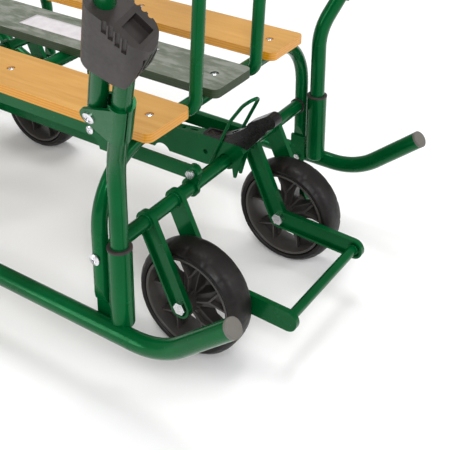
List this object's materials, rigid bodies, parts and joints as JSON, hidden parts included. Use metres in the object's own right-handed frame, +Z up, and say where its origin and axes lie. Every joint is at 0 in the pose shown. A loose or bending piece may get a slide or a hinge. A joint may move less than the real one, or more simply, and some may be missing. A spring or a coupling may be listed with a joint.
{
  "type": "children's sled",
  "caption": "Steel-tube children's sled with slatted seat, backrest, lift-out push handle and linked swing-down transport wheels worked by a rear foot pedal.",
  "frame": {"origin": "on the floor under the middle of the whole sled, with the wheels down", "axes": "+X forward towards the nose, +Y to the left, +Z up"},
  "size_m": [0.9408, 0.5718, 0.864],
  "materials": {
    "green_paint": "gloss powder coat",
    "yellow_wood": "lacquered plywood",
    "green_wood": "stained plywood",
    "gray_plastic": "moulded",
    "hub_plastic": "moulded",
    "black_plastic": "moulded",
    "tyre": "rubber",
    "zinc": "zinc plated",
    "foam": "soft foam"
  },
  "bodies": {
    "frame": {"runner_left": "green_paint", "runner_right": "green_paint", "runner_caps": "gray_plastic", "rear_hoop": "green_paint", "front_hoop": "green_paint", "nose_bar": "green_paint", "cross_tube": "green_paint", "foot_bolts": "zinc", "rail_left": "green_paint", "rail_right": "green_paint", "seat_screws": "zinc", "slat_left": "yellow_wood", "slat_middle": "green_wood", "slat_right": "yellow_wood", "socket_left": "green_paint", "socket_right": "green_paint", "socket_bushes": "gray_plastic", "axle_bolts": "zinc", "backrest_frame": "green_paint", "backrest_boards": "yellow_wood", "backrest_screws": "zinc", "lever_hanger": "green_paint", "lever_pin": "zinc"},
    "push_handle": {"post_left": "green_paint", "post_right": "green_paint", "bracket_left": "green_paint", "bracket_right": "green_paint", "handle_tube": "green_paint", "handle_grip": "foam", "ear_screws": "zinc"},
    "clamp_left": {"clamp_left": "gray_plastic"},
    "clamp_right": {"clamp_right": "gray_plastic"},
    "rear_lift": {"rear_axle": "green_paint", "rear_bushes": "gray_plastic", "rear_arm_left": "green_paint", "rear_arm_right": "green_paint", "pedal_arm_left": "green_paint", "pedal_arm_right": "green_paint", "pedal_rod": "green_paint", "rear_bolts": "zinc", "link_pins": "zinc"},
    "front_lift": {"front_axle": "green_paint", "front_bushes": "gray_plastic", "front_arms_left": "green_paint", "front_arms_right": "green_paint", "front_bolts": "zinc", "front_pins": "zinc"},
    "links": {"link_bars": "green_paint"},
    "wheel_rear_left": {"tyre_rear_left": "tyre", "hub_rear_left": "hub_plastic"},
    "wheel_rear_right": {"tyre_rear_right": "tyre", "hub_rear_right": "hub_plastic"},
    "wheel_front_left": {"tyre_front_left": "tyre", "hub_front_left": "hub_plastic"},
    "wheel_front_right": {"tyre_front_right": "tyre", "hub_front_right": "hub_plastic"},
    "lock": {"lock_lever": "green_paint", "latch_cap": "black_plastic", "latch_screw": "zinc", "release_loop": "green_paint"}
  },
  "joints": [
    {"name": "wheel_lift_rear", "type": "hinge", "parent": "frame", "child": "rear_lift", "pos_m": [-0.22012, 0, 0.15232], "axis": [0, 1, 0], "range_deg": [0, 55]},
    {"name": "wheel_lift_front", "type": "hinge", "parent": "frame", "child": "front_lift", "pos_m": [0.21588, 0, 0.15232], "axis": [0, 1, 0], "range_deg": [0, 55]},
    {"name": "link_swing", "type": "hinge", "parent": "rear_lift", "child": "links", "pos_m": [-0.22594, 0, 0.17405], "axis": [0, 1, 0], "range_deg": [-55, 0]},
    {"name": "spin_rear_left", "type": "hinge", "parent": "rear_lift", "child": "wheel_rear_left", "pos_m": [-0.26154, 0.097, 0.0635], "axis": [0, 1, 0], "continuous": true},
    {"name": "spin_rear_right", "type": "hinge", "parent": "rear_lift", "child": "wheel_rear_right", "pos_m": [-0.26154, -0.097, 0.0635], "axis": [0, 1, 0], "continuous": true},
    {"name": "spin_front_left", "type": "hinge", "parent": "front_lift", "child": "wheel_front_left", "pos_m": [0.17446, 0.131, 0.0635], "axis": [0, 1, 0], "continuous": true},
    {"name": "spin_front_right", "type": "hinge", "parent": "front_lift", "child": "wheel_front_right", "pos_m": [0.17446, -0.131, 0.0635], "axis": [0, 1, 0], "continuous": true},
    {"name": "handle_lift_out", "type": "slide", "parent": "frame", "child": "push_handle", "axis": [0, 0, 1], "range_m": [0, 0.07]},
    {"name": "clamp_slide_left", "type": "slide", "parent": "push_handle", "child": "clamp_left", "axis": [-0.3665, 0.2983, 0.8813], "range_m": [0, 0.046]},
    {"name": "clamp_slide_right", "type": "slide", "parent": "push_handle", "child": "clamp_right", "axis": [-0.3665, -0.2983, 0.8813], "range_m": [0, 0.046]},
    {"name": "lock_lift", "type": "hinge", "parent": "frame", "child": "lock", "pos_m": [-0.03012, -0.027, 0.16282], "axis": [0, 1, 0], "range_deg": [0, 5]}
  ],
  "couplings": [
    {"joint": "wheel_lift_front", "follows": "wheel_lift_rear", "ratio": 1},
    {"joint": "link_swing", "follows": "wheel_lift_rear", "ratio": -1}
  ]
}
